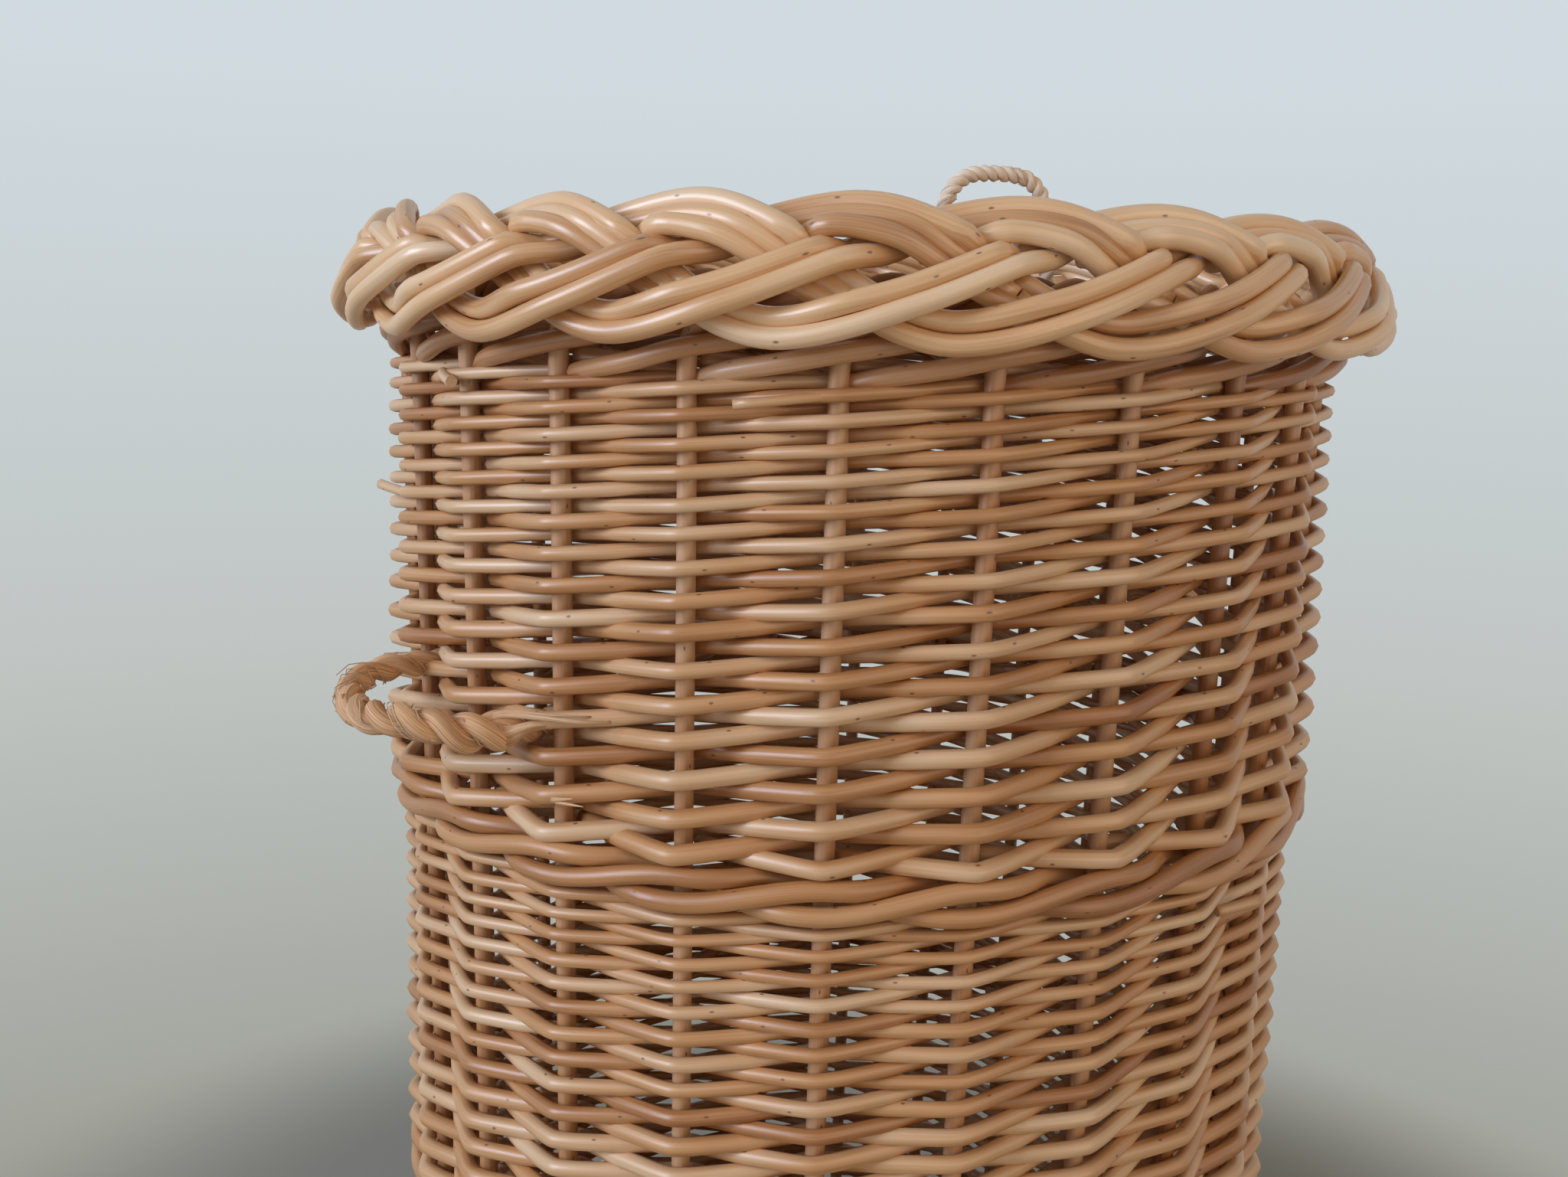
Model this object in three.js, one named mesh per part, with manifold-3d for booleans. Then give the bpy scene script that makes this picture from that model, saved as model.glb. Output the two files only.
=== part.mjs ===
import * as THREE from 'three';
import { mergeVertices } from 'three/addons/utils/BufferGeometryUtils.js';
import Module from 'manifold-3d';

// A round lidded rattan basket, in millimetres with +Z up. The origin is on the floor under its middle.
// An azimuth of 0 faces the viewer (-Y) and grows to the viewer's right (+X).

const wasm = await Module();
wasm.setup();

// Fits shared by every piece
const seatGap = 0.3;
const rodFit = 0.35;
const cutOverrun = 6;

// Stakes, the upright rods that carry the whole basket
const stakeCount = 24;
const stakeTurnDegrees = -1.5;
const stakeDiameter = 7;
const stakeSides = 5;
const stakeFootRadius = 183;
const stakeTopRadius = 191.7;
const stakeTuckLength = 44;
const stakeBendRadius = 9;
const borderFrontRiseShare = 2.1;
const borderBackRiseShare = 2.5;
const borderRodGap = 1.3;
const borderFrontShare = 1.25;
const borderCrossShare = 1.65;
const borderTailShare = 2.25;

// Weave of the wall: three blocks with a heavier band of wale under each
const weaveThickness = 4.8;
const weaveReliefDepth = 2.6;
const weaveReliefHeight = 32;
const weaveCrossThickness = 3.4;
const weaveSkin = 1.2;
const blockHeight = 162.5;
const waleHeight = 19;
const waleProud = 1.2;
const waleRodCount = 2;
const upperBlockFlare = 4;
const footWaleHeight = 22;
const footWaleWidth = 9;
const ringSegments = 40;

// Base and lid are the same kind of disc: crossed sticks with weave round them
const discStickCount = 3;
const discStickSides = 6;
const baseThickness = 14;
const baseFloorGap = 5;
const baseStickDiameter = 6;
const baseEyeRadius = 30;
const baseStickSpacing = 11;
const lidThickness = 7;
const lidStickDiameter = 4;
const lidEyeRadius = 26;
const lidStickSpacing = 9;
const lidRimDiameter = 14;
const lidPassClearance = 2.4;

// Plaited border on top of the wall: four flat strands, each a group of rods that is broader over the crest.
// A strand goes down over one strand and under two, and comes up over two and under one.
const plaitStrandCount = 4;
const plaitCrestWidth = 16;
const plaitTroughWidth = 12;
const plaitStrandThickness = 6.5;
const plaitSway = 18.35;
const plaitLift = 6.03;
const plaitLeanDegrees = 24.4;
const plaitRise = 33.6;
const plaitStations = 12;

// Along a strand, in stake spacings from its crest: its lowest point, where it goes under or comes out again,
// how much later that is for the whole width of the strand, and the run that it takes
const plaitTroughShare = 1.72;
const plaitCrossingShares = { diveHigh: 0.82, surfaceLow: 1.41, diveLow: 3.3, surfaceHigh: 3.54 };
const plaitSkewShares = { diveHigh: 0.165, surfaceLow: 0.42, diveLow: 0.124, surfaceHigh: 0.448 };
const plaitRampShare = 0.3;
const plaitNarrowingShares = { from: 0.3, run: 0.8 };

// Rope handles on the wall
const handleAzimuths = [-46.5, 133.5];
const handleRopeDiameter = 11.5;
const handleReach = 39;
const handleRise = 41.5;
const handleKnotDiameter = 18;
const handleKnotLength = 12;
const handleSquareness = 2;

// Small rope loop on the lid
const loopAzimuth = 17;
const loopRopeDiameter = 5.6;
const loopInset = 31;
const loopWidth = 45.6;
const loopHeight = 38;
const loopSquareness = 3.3;
const loopKnotDiameter = 11;
const loopKnotLength = 8;
const ropeSides = 8;
const knotNearShare = 0.25;
const knotFarShare = 0.75;
const ropeEndShare = 0.8;
const ropeSteps = 10;

// Finishes
const caneStake = new THREE.MeshStandardMaterial({ color: '#b58453', roughness: 0.55, metalness: 0 });
const caneWeave = new THREE.MeshStandardMaterial({ color: '#c39362', roughness: 0.55, metalness: 0 });
const caneWale = new THREE.MeshStandardMaterial({ color: '#b37d4a', roughness: 0.55, metalness: 0 });
const canePlait = new THREE.MeshStandardMaterial({ color: '#cc9c68', roughness: 0.5, metalness: 0 });
const caneBase = new THREE.MeshStandardMaterial({ color: '#ac7a4a', roughness: 0.6, metalness: 0 });
const ropeFibre = new THREE.MeshStandardMaterial({ color: '#c4955c', roughness: 0.85, metalness: 0 });

// Sizes that follow from the ones above
const stakeRadius = stakeDiameter / 2;
const stakeAngle = (2 * Math.PI) / stakeCount;
const baseMiddle = baseFloorGap + baseThickness / 2;
const wallFoot = footWaleHeight + seatGap;
const lowerWaleFoot = wallFoot + blockHeight + seatGap;
const middleBlockFoot = lowerWaleFoot + waleHeight + seatGap;
const upperWaleFoot = middleBlockFoot + blockHeight + seatGap;
const upperBlockFoot = upperWaleFoot + waleHeight + seatGap;
const wallTop = upperBlockFoot + blockHeight;
const handleHeight = upperBlockFoot + handleRise;
const stakeBendTop = baseMiddle + stakeBendRadius;
const borderFrontRadius = stakeTopRadius + stakeDiameter + borderRodGap;
const borderFrontRise = stakeDiameter * borderFrontRiseShare;
const borderBackRadius = stakeTopRadius - stakeDiameter - seatGap;
const borderBackRise = stakeDiameter * borderBackRiseShare;

const radians = THREE.MathUtils.degToRad;

// The plait leans on the border rods, and the lid drops inside it onto their ends
const plaitLean = radians(plaitLeanDegrees);
const plaitBack = plaitLift + plaitStrandThickness / 2;
const plaitBackToRod = plaitBack + stakeRadius;
const plaitMiddleHeight = wallTop + plaitRise;
const plaitMiddleRadius = borderFrontRadius
  + (plaitBackToRod - (plaitRise - borderFrontRise) * Math.sin(plaitLean)) / Math.cos(plaitLean);
const plaitReach = plaitSway + plaitCrestWidth / 4;
const plaitMouth = plaitMiddleRadius - plaitReach * Math.sin(plaitLean) - plaitBack * Math.cos(plaitLean);
const lidRimRadius = lidRimDiameter / 2;
const lidOutside = plaitMouth - lidPassClearance;
const lidRimCentre = lidOutside - lidRimRadius;
const lidSeat = wallTop + borderBackRise + stakeRadius + seatGap;
const lidRimMiddle = lidSeat + lidRimRadius;

// A point given by azimuth in radians, radius and height
function polar(azimuth, radius, height) {
  return new THREE.Vector3(radius * Math.sin(azimuth), -radius * Math.cos(azimuth), height);
}

function stakeAzimuth(number) {
  return radians(stakeTurnDegrees) + number * stakeAngle;
}

// The stakes lean outwards in a straight line from the foot to the top of the wall
function stakeLine(height) {
  const climbed = (height - stakeBendTop) / (wallTop - stakeBendTop);
  return stakeFootRadius + (stakeTopRadius - stakeFootRadius) * climbed;
}

// A closed skin over rings of points. Rings run round their direction of travel by the right-hand rule.
function loft(rings, joinsItself) {
  const ringSize = rings[0].length;
  const spans = joinsItself ? rings.length : rings.length - 1;
  const index = [];
  for (let i = 0; i < spans; i += 1) {
    const here = i * ringSize;
    const next = ((i + 1) % rings.length) * ringSize;
    for (let j = 0; j < ringSize; j += 1) {
      const beside = (j + 1) % ringSize;
      index.push(here + j, here + beside, next + beside);
      index.push(here + j, next + beside, next + j);
    }
  }
  if (!joinsItself) {
    const last = (rings.length - 1) * ringSize;
    for (let j = 1; j < ringSize - 1; j += 1) {
      index.push(0, j + 1, j);
      index.push(last, last + j, last + j + 1);
    }
  }
  const geometry = new THREE.BufferGeometry();
  const positions = rings.flat().flatMap((point) => point.toArray());
  geometry.setAttribute('position', new THREE.Float32BufferAttribute(positions, 3));
  geometry.setIndex(index);
  return geometry;
}

// A round rod through points. The radius may be one number or one for each point.
function rod(points, radius, sides) {
  const tangents = points.map((point, i) => {
    const before = points[Math.max(i - 1, 0)];
    const after = points[Math.min(i + 1, points.length - 1)];
    return after.clone().sub(before).normalize();
  });
  const upright = new THREE.Vector3(0, 0, 1);
  const sideways = new THREE.Vector3(1, 0, 0);
  const start = Math.abs(tangents[0].dot(upright)) > Math.SQRT1_2 ? sideways : upright;
  const normal = start.clone().projectOnPlane(tangents[0]).normalize();
  const rings = points.map((point, i) => {
    normal.projectOnPlane(tangents[i]).normalize();
    const binormal = tangents[i].clone().cross(normal);
    const reach = Array.isArray(radius) ? radius[i] : radius;
    return Array.from({ length: sides }, (_, j) => {
      const angle = (2 * Math.PI * j) / sides;
      return point.clone()
        .addScaledVector(normal, reach * Math.cos(angle))
        .addScaledVector(binormal, reach * Math.sin(angle));
    });
  });
  return loft(rings, false);
}

// A hoop whose section is a list of [radius, height] corners, taken down the outside and up the inside
function hoop(section, segments) {
  const rings = Array.from({ length: segments }, (_, i) => {
    const azimuth = stakeAzimuth(0) + (2 * Math.PI * i) / segments;
    return section.map(([radius, height]) => polar(azimuth, radius, height));
  });
  return loft(rings, true);
}

function toSolid(geometry) {
  const bare = geometry.clone();
  bare.deleteAttribute('normal');
  bare.deleteAttribute('uv');
  const merged = mergeVertices(bare);
  return new wasm.Manifold(new wasm.Mesh({
    numProp: 3,
    vertProperties: merged.attributes.position.array,
    triVerts: new Uint32Array(merged.index.array),
  }));
}

function toGeometry(solid) {
  const mesh = solid.getMesh();
  const geometry = new THREE.BufferGeometry();
  geometry.setAttribute('position', new THREE.Float32BufferAttribute(mesh.vertProperties, 3));
  geometry.setIndex(Array.from(mesh.triVerts));
  return geometry;
}

function cut(geometry, cutters) {
  let solid = toSolid(geometry);
  for (const cutter of cutters) {
    solid = solid.subtract(toSolid(cutter));
  }
  return toGeometry(solid);
}

const basket = new THREE.Group();

function add(name, geometry, material) {
  const mesh = new THREE.Mesh(geometry, material);
  mesh.name = name;
  basket.add(mesh);
  return mesh;
}

// Stake: tucked into the base, up the wall, then turned down in front of the next stake
// and behind the one after
function stakePath(number, extraTuck = 0) {
  const azimuth = stakeAzimuth(number);
  const arcRun = stakeBendRadius * Math.SQRT1_2;
  const bendStart = stakeFootRadius - stakeBendRadius;
  const at = (turnShare, radius, height) => polar(azimuth + turnShare * stakeAngle, radius, height);
  return [
    at(0, bendStart - stakeTuckLength - extraTuck, baseMiddle),
    at(0, bendStart, baseMiddle),
    at(0, bendStart + arcRun, stakeBendTop - arcRun),
    at(0, stakeFootRadius, stakeBendTop),
    at(0, stakeTopRadius, wallTop + stakeRadius),
    at(borderFrontShare, borderFrontRadius, wallTop + borderFrontRise),
    at(borderCrossShare, stakeTopRadius, wallTop + (borderFrontRise + borderBackRise) / 2),
    at(2, borderBackRadius, wallTop + borderBackRise),
    at(borderTailShare, lidRimCentre, wallTop + borderBackRise),
  ];
}

function stakeChannels() {
  const bendsBelowTop = 5;
  return Array.from({ length: stakeCount }, (_, i) => (
    rod(stakePath(i, seatGap).slice(0, bendsBelowTop), stakeRadius + rodFit, stakeSides)
  ));
}

for (let i = 0; i < stakeCount; i += 1) {
  const label = String(i + 1).padStart(2, '0');
  add(`stake_${label}`, rod(stakePath(i), stakeRadius, stakeSides), caneStake);
}

// How far the weave reaches outside and inside the stakes' centre line
const outerReach = stakeRadius + weaveThickness;
const innerReach = stakeRadius + weaveThickness;

// A block of weave: rows pass in front of one stake and behind the next, in turn, so its face is quilted.
// Between the stakes the rods cross on the stakes' own line, and the face falls back there.
function weaveBlock(foot, flare) {
  const rows = Math.max(2, Math.round(blockHeight / weaveReliefHeight));
  const channelReach = stakeRadius + rodFit + weaveSkin;
  const columns = [];
  for (let half = 0; half < 2 * stakeCount; half += 1) {
    const stake = half / 2;
    const azimuth = stakeAzimuth(stake);
    const column = [];
    for (let r = rows; r >= 0; r -= 1) {
      const height = foot + (blockHeight * r) / rows;
      const swelling = flare * (1 - r / rows);
      const dip = (stake + r) % 2 === 0 ? weaveReliefDepth : 0;
      const atStake = Math.max(outerReach + swelling - dip, channelReach);
      const reach = half % 2 === 0 ? atStake : weaveCrossThickness + swelling;
      column.push(polar(azimuth, stakeLine(height) + reach, height));
    }
    column.push(polar(azimuth, stakeLine(foot) - innerReach, foot));
    column.push(polar(azimuth, stakeLine(foot + blockHeight) - innerReach, foot + blockHeight));
    columns.push(column);
  }
  return loft(columns, true);
}

// A band of wale: heavier rods, one above the other, round the stakes
function waleBand(foot, proud) {
  const rodHeight = waleHeight / waleRodCount;
  const section = [];
  for (let i = waleRodCount; i > 0; i -= 1) {
    const top = foot + rodHeight * i;
    const valley = stakeLine(top) + outerReach + proud - weaveReliefDepth / 2;
    section.push([valley, top]);
    section.push([valley + weaveReliefDepth / 2, top - rodHeight / 2]);
  }
  section.push([stakeLine(foot) + outerReach + proud - weaveReliefDepth / 2, foot]);
  section.push([stakeLine(foot) - innerReach, foot]);
  section.push([stakeLine(foot + waleHeight) - innerReach, foot + waleHeight]);
  return hoop(section, stakeCount);
}

// Handle roots: the rope's ends, let into the wall beside two stakes
const handleRopeRadius = handleRopeDiameter / 2;
const handleKnotRadius = handleKnotDiameter / 2;
const handleStakeLine = stakeLine(handleHeight);
const rootToStake = stakeRadius + handleRopeRadius + 2 * rodFit + weaveSkin;
const handleHalfWidth = handleStakeLine * Math.sin(stakeAngle) - rootToStake;
const wallFaceAtHandle = handleStakeLine + outerReach + upperBlockFlare;
const handleRootEnd = Math.sqrt(wallFaceAtHandle ** 2 - (handleHalfWidth - handleRopeRadius) ** 2) + seatGap;
const handleHinge = handleRootEnd + seatGap + handleRopeRadius;
const wallInsideAtHandle = (handleStakeLine - innerReach) * Math.cos(stakeAngle / 2);
const handleKnotFace = Math.sqrt(wallInsideAtHandle ** 2 - (handleHalfWidth + handleKnotRadius) ** 2) - seatGap;

// A point in a handle's own frame: along the wall, outwards from the basket's axis, and up
function handlePoint(azimuth, along, outward, up) {
  const outwards = polar(azimuth, outward, handleHeight + up);
  return outwards.add(polar(azimuth + Math.PI / 2, along, 0));
}

function handleRootPath(azimuth, side) {
  const along = side * handleHalfWidth;
  return {
    points: [
      handlePoint(azimuth, along, handleKnotFace - handleKnotLength, 0),
      handlePoint(azimuth, along, handleKnotFace - handleKnotLength * knotFarShare, 0),
      handlePoint(azimuth, along, handleKnotFace - handleKnotLength * knotNearShare, 0),
      handlePoint(azimuth, along, handleKnotFace, 0),
      handlePoint(azimuth, along, handleRootEnd, 0),
    ],
    radii: [
      handleRopeRadius * ropeEndShare,
      handleKnotRadius,
      handleKnotRadius,
      handleRopeRadius,
      handleRopeRadius,
    ],
  };
}

function handleRootHole(azimuth, side) {
  const along = side * handleHalfWidth;
  const from = handlePoint(azimuth, along, handleKnotFace - cutOverrun, 0);
  const to = handlePoint(azimuth, along, handleRootEnd + cutOverrun, 0);
  return rod([from, to], handleRopeRadius + rodFit, ropeSides);
}

const rootHoles = handleAzimuths.flatMap((degrees) => (
  [-1, 1].map((side) => handleRootHole(radians(degrees), side))
));
const channels = stakeChannels();

add('weave_lower', cut(weaveBlock(wallFoot, 0), channels), caneWeave);
add('wale_lower', cut(waleBand(lowerWaleFoot, waleProud), channels), caneWale);
add('weave_middle', cut(weaveBlock(middleBlockFoot, 0), channels), caneWeave);
add('wale_upper', cut(waleBand(upperWaleFoot, upperBlockFlare + waleProud), channels), caneWale);
const upperCutters = [...channels, ...rootHoles];
add('weave_upper', cut(weaveBlock(upperBlockFoot, upperBlockFlare), upperCutters), caneWeave);

// Foot wale: the ring that the basket stands on, outside the bent stakes
const footInside = stakeFootRadius + stakeRadius + seatGap;
const footOutside = footInside + footWaleWidth;
const footRodHeight = footWaleHeight / waleRodCount;
add('wale_foot', hoop([
  [footOutside - weaveReliefDepth, footWaleHeight],
  [footOutside, footWaleHeight - footRodHeight / 2],
  [footOutside - weaveReliefDepth / 2, footRodHeight],
  [footOutside, footRodHeight / 2],
  [footOutside - weaveReliefDepth, 0],
  [footInside, 0],
  [footInside, footWaleHeight],
], ringSegments), caneWale);

// A disc's stick: side by side with its bundle through the middle, then fanned out to its own azimuth
function stickPath(layer, place, disc) {
  const turn = disc.turn + (layer * Math.PI) / 2;
  const height = disc.middle + (2 * layer - 1) * (disc.stickRadius + seatGap / 2);
  const across = place * disc.spacing;
  const fanAngle = (place * Math.PI) / (2 * discStickCount);
  const along = (reach, sign) => new THREE.Vector2(
    sign * reach * Math.cos(fanAngle),
    reach * Math.sin(fanAngle),
  );
  const flat = [
    along(disc.reach, -1),
    new THREE.Vector2(-disc.eyeRadius, across),
    new THREE.Vector2(disc.eyeRadius, across),
    along(disc.reach, 1),
  ];
  return flat.map((point) => {
    const radius = point.length();
    const azimuth = turn + Math.atan2(point.y, point.x);
    return polar(azimuth, radius, height);
  });
}

const places = Array.from({ length: discStickCount }, (_, i) => i - (discStickCount - 1) / 2);

// Sticks of a disc: one bundle laid across the other
function addSticks(prefix, disc, material) {
  places.forEach((place, i) => {
    const under = rod(stickPath(0, place, disc), disc.stickRadius, discStickSides);
    const over = rod(stickPath(1, place, disc), disc.stickRadius, discStickSides);
    add(`${prefix}_under_stick_${i + 1}`, under, material);
    add(`${prefix}_over_stick_${i + 1}`, over, material);
  });
}

// Weave of a disc: a flat ring with a channel for every stick
function discWeave(disc, outside, extraCutters) {
  const top = disc.middle + disc.thickness / 2;
  const bottom = disc.middle - disc.thickness / 2;
  const ring = hoop([
    [outside, top],
    [outside, bottom],
    [disc.eyeRadius, bottom],
    [disc.eyeRadius, top],
  ], ringSegments);
  const reached = { ...disc, reach: disc.reach + seatGap };
  const stickChannels = places.flatMap((place) => [0, 1].map((layer) => (
    rod(stickPath(layer, place, reached), disc.stickRadius + rodFit, discStickSides)
  )));
  return cut(ring, [...stickChannels, ...extraCutters]);
}

// Base: its sticks end between the stakes, and the stakes are tucked in beside them
const baseOutside = stakeFootRadius - stakeBendRadius - seatGap;
const base = {
  middle: baseMiddle,
  thickness: baseThickness,
  turn: stakeAzimuth(0) + stakeAngle / 2,
  reach: baseOutside - seatGap,
  eyeRadius: baseEyeRadius,
  spacing: baseStickSpacing,
  stickRadius: baseStickDiameter / 2,
};
addSticks('base', base, caneBase);
add('base_weave', discWeave(base, baseOutside, channels), caneBase);

// Plait: each strand sways across the border once in as many stake spacings as there are strands
const smooth = (share) => THREE.MathUtils.smoothstep(share, 0, 1);
const spacingRun = plaitMiddleRadius * stakeAngle;

// Layer of a strand: 1 outside, -1 inside. A part of the strand that lies higher dives later and surfaces sooner
// on the far side of the trough.
function plaitLayer(spacings, acrossShare) {
  const placeOf = (name, side) => plaitCrossingShares[name] + side * plaitSkewShares[name] * acrossShare;
  const passed = (place) => smooth((spacings - place) / plaitRampShare);
  const dived = passed(placeOf('diveHigh', 1) - plaitRampShare);
  const surfaced = passed(placeOf('surfaceLow', 1));
  const divedAgain = passed(placeOf('diveLow', -1) - plaitRampShare);
  const surfacedAgain = passed(placeOf('surfaceHigh', -1));
  return 1 - 2 * (dived - surfaced + divedAgain - surfacedAgain);
}

function plaitStrand(number) {
  const rings = [];
  for (let station = 0; station < (stakeCount / plaitStrandCount) * plaitStations; station += 1) {
    const turned = (station * plaitStrandCount) / plaitStations;
    const spacings = turned % plaitStrandCount;
    const isFalling = spacings < plaitTroughShare;
    const run = isFalling ? plaitTroughShare : plaitStrandCount - plaitTroughShare;
    const turn = Math.PI * (isFalling ? spacings / run : 1 + (spacings - plaitTroughShare) / run);
    const across = plaitSway * Math.cos(turn);
    const slope = (-plaitSway * Math.sin(turn) * Math.PI) / run / spacingRun;
    const fromCrest = Math.min(spacings, plaitStrandCount - spacings);
    const narrowed = smooth((fromCrest - plaitNarrowingShares.from) / plaitNarrowingShares.run);
    const width = THREE.MathUtils.lerp(plaitCrestWidth, plaitTroughWidth, narrowed);
    const halfWidth = (width / 2) * Math.hypot(1, slope);
    const halfThickness = plaitStrandThickness / 2;
    const section = [
      [halfThickness, halfWidth / 2],
      [halfThickness, -halfWidth / 2],
      [0, -halfWidth],
      [-halfThickness, -halfWidth / 2],
      [-halfThickness, halfWidth / 2],
      [0, halfWidth],
    ];
    rings.push(section.map(([normal, offset]) => {
      const through = plaitLayer(spacings, offset / width) * plaitLift + normal;
      const up = across + offset;
      const radius = plaitMiddleRadius + through * Math.cos(plaitLean) - up * Math.sin(plaitLean);
      const height = plaitMiddleHeight + through * Math.sin(plaitLean) + up * Math.cos(plaitLean);
      return polar(stakeAzimuth(number + turned), radius, height);
    }));
  }
  return loft(rings, true);
}

for (let i = 0; i < plaitStrandCount; i += 1) {
  add(`plait_strand_${i + 1}`, plaitStrand(i), canePlait);
}

// Lid: dropped inside the plait, its rim resting on the stakes' turned-down ends
const rimCorner = lidRimRadius * Math.SQRT1_2;
add('lid_rim', hoop([
  [lidRimCentre, lidRimMiddle + lidRimRadius],
  [lidRimCentre + rimCorner, lidRimMiddle + rimCorner],
  [lidOutside, lidRimMiddle],
  [lidRimCentre + rimCorner, lidRimMiddle - rimCorner],
  [lidRimCentre, lidSeat],
  [lidRimCentre - lidRimRadius, lidRimMiddle],
], ringSegments), canePlait);

const lidWeaveOutside = lidRimCentre - lidRimRadius - seatGap;
const lidTop = lidRimMiddle + lidThickness / 2;
const lidBottom = lidRimMiddle - lidThickness / 2;
const lid = {
  middle: lidRimMiddle,
  thickness: lidThickness,
  turn: radians(loopAzimuth) + Math.PI / (4 * discStickCount),
  reach: lidWeaveOutside - 2 * seatGap,
  eyeRadius: lidEyeRadius,
  spacing: lidStickSpacing,
  stickRadius: lidStickDiameter / 2,
};
addSticks('lid', lid, caneStake);

// Loop feet: the thin rope's ends pass down through the lid to a knot under it
const loopRopeRadius = loopRopeDiameter / 2;
const loopHalfWidth = (loopWidth - loopRopeDiameter) / 2;
const loopHinge = lidTop + 2 * seatGap + loopRopeRadius;
const loopRadius = lidOutside - loopInset;

function loopPoint(along, height) {
  const azimuth = radians(loopAzimuth);
  return polar(azimuth, loopRadius, height).add(polar(azimuth + Math.PI / 2, along, 0));
}

function loopFoot(side) {
  const along = side * loopHalfWidth;
  const knotTop = lidBottom - seatGap;
  const points = [
    loopPoint(along, knotTop - loopKnotLength),
    loopPoint(along, knotTop - loopKnotLength * knotFarShare),
    loopPoint(along, knotTop - loopKnotLength * knotNearShare),
    loopPoint(along, knotTop),
    loopPoint(along, lidTop + seatGap),
  ];
  const knotRadius = loopKnotDiameter / 2;
  return rod(points, [loopRopeRadius, knotRadius, knotRadius, loopRopeRadius, loopRopeRadius], ropeSides);
}

function loopHole(side) {
  const along = side * loopHalfWidth;
  const ends = [loopPoint(along, lidBottom - cutOverrun), loopPoint(along, lidTop + cutOverrun)];
  return rod(ends, loopRopeRadius + rodFit, ropeSides);
}

add('lid_weave', discWeave(lid, lidWeaveOutside, [loopHole(-1), loopHole(1)]), caneWeave);
add('lid_loop_foot_left', loopFoot(-1), ropeFibre);
add('lid_loop_foot_right', loopFoot(1), ropeFibre);

// A rope bent to half an oval, with rounded ends centred on the line that it swings about. A squareness of 2
// gives an ellipse, and more than that gives straighter sides and a broader top.
function ropeLoop(halfWidth, reach, ropeRadius, squareness, place) {
  const points = [];
  const radii = [];
  const domeShare = 0.7;
  const domeDepth = ropeRadius * domeShare;
  const domeRadius = ropeRadius * Math.sqrt(1 - domeShare * domeShare);
  const tipShare = 0.95;
  const tipRadius = ropeRadius * Math.sqrt(1 - tipShare * tipShare);
  points.push(place(-halfWidth, -ropeRadius * tipShare), place(-halfWidth, -domeDepth));
  radii.push(tipRadius, domeRadius);
  for (let i = 0; i <= ropeSteps; i += 1) {
    const angle = (Math.PI * i) / ropeSteps;
    const sideShare = Math.sign(Math.cos(angle)) * Math.abs(Math.cos(angle)) ** (2 / squareness);
    const reachShare = Math.abs(Math.sin(angle)) ** (2 / squareness);
    points.push(place(-halfWidth * sideShare, reach * reachShare));
    radii.push(ropeRadius);
  }
  points.push(place(halfWidth, -domeDepth), place(halfWidth, -ropeRadius * tipShare));
  radii.push(domeRadius, tipRadius);
  return rod(points, radii, ropeSides);
}

const loopReach = loopHeight - loopRopeRadius;
add('lid_loop', ropeLoop(loopHalfWidth, loopReach, loopRopeRadius, loopSquareness, (along, reach) => (
  loopPoint(along, loopHinge + reach)
)), ropeFibre);

// Rope handles: each loop swings about the line through its two roots
const handleNames = ['left', 'right'];
handleNames.forEach((name, i) => {
  const azimuth = radians(handleAzimuths[i]);
  const reach = handleReach - handleRopeRadius;
  add(`handle_${name}`, ropeLoop(handleHalfWidth, reach, handleRopeRadius, handleSquareness, (along, out) => (
    handlePoint(azimuth, along, handleHinge + out, 0)
  )), ropeFibre);
  for (const side of [-1, 1]) {
    const root = handleRootPath(azimuth, side);
    const place = side < 0 ? 'a' : 'b';
    add(`handle_${name}_root_${place}`, rod(root.points, root.radii, ropeSides), ropeFibre);
  }
});

export default basket;
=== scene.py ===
import math
import random

import bpy
import numpy as np
from mathutils import Matrix, Vector


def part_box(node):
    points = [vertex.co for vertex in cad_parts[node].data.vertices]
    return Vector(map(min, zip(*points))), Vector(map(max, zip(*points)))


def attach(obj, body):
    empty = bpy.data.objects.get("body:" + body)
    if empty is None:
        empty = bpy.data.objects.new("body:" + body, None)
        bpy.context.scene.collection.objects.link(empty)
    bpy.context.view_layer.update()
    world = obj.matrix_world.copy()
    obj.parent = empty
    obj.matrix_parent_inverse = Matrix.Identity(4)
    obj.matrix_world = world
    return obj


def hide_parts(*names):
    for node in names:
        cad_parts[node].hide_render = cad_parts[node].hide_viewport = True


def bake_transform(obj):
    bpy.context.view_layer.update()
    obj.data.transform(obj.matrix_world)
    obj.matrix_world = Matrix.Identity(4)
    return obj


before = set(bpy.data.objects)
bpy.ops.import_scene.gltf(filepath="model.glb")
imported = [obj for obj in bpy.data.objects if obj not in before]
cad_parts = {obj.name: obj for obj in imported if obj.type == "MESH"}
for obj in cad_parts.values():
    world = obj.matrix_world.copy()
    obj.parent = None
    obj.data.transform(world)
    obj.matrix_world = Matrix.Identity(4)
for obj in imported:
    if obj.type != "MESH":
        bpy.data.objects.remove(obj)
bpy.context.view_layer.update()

print("frame loaded")

mm = 0.001


# The basket as a whole. Azimuth 0 faces the viewer (-Y) and grows to the viewer's right (+X).
basket = {
    "stakeCount": 24,
    "stakeTurn": math.radians(-1.5),
    "stakeRadius": 3.5 * mm,
    "footRadius": 183 * mm,
    "topRadius": 191.7 * mm,
    "bendTop": 21 * mm,
}
unitAngle = 2 * math.pi / basket["stakeCount"]
wallTop = float(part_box("weave_upper")[1][2])


def stakeAzimuth(units):
    return basket["stakeTurn"] + units * unitAngle


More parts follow.
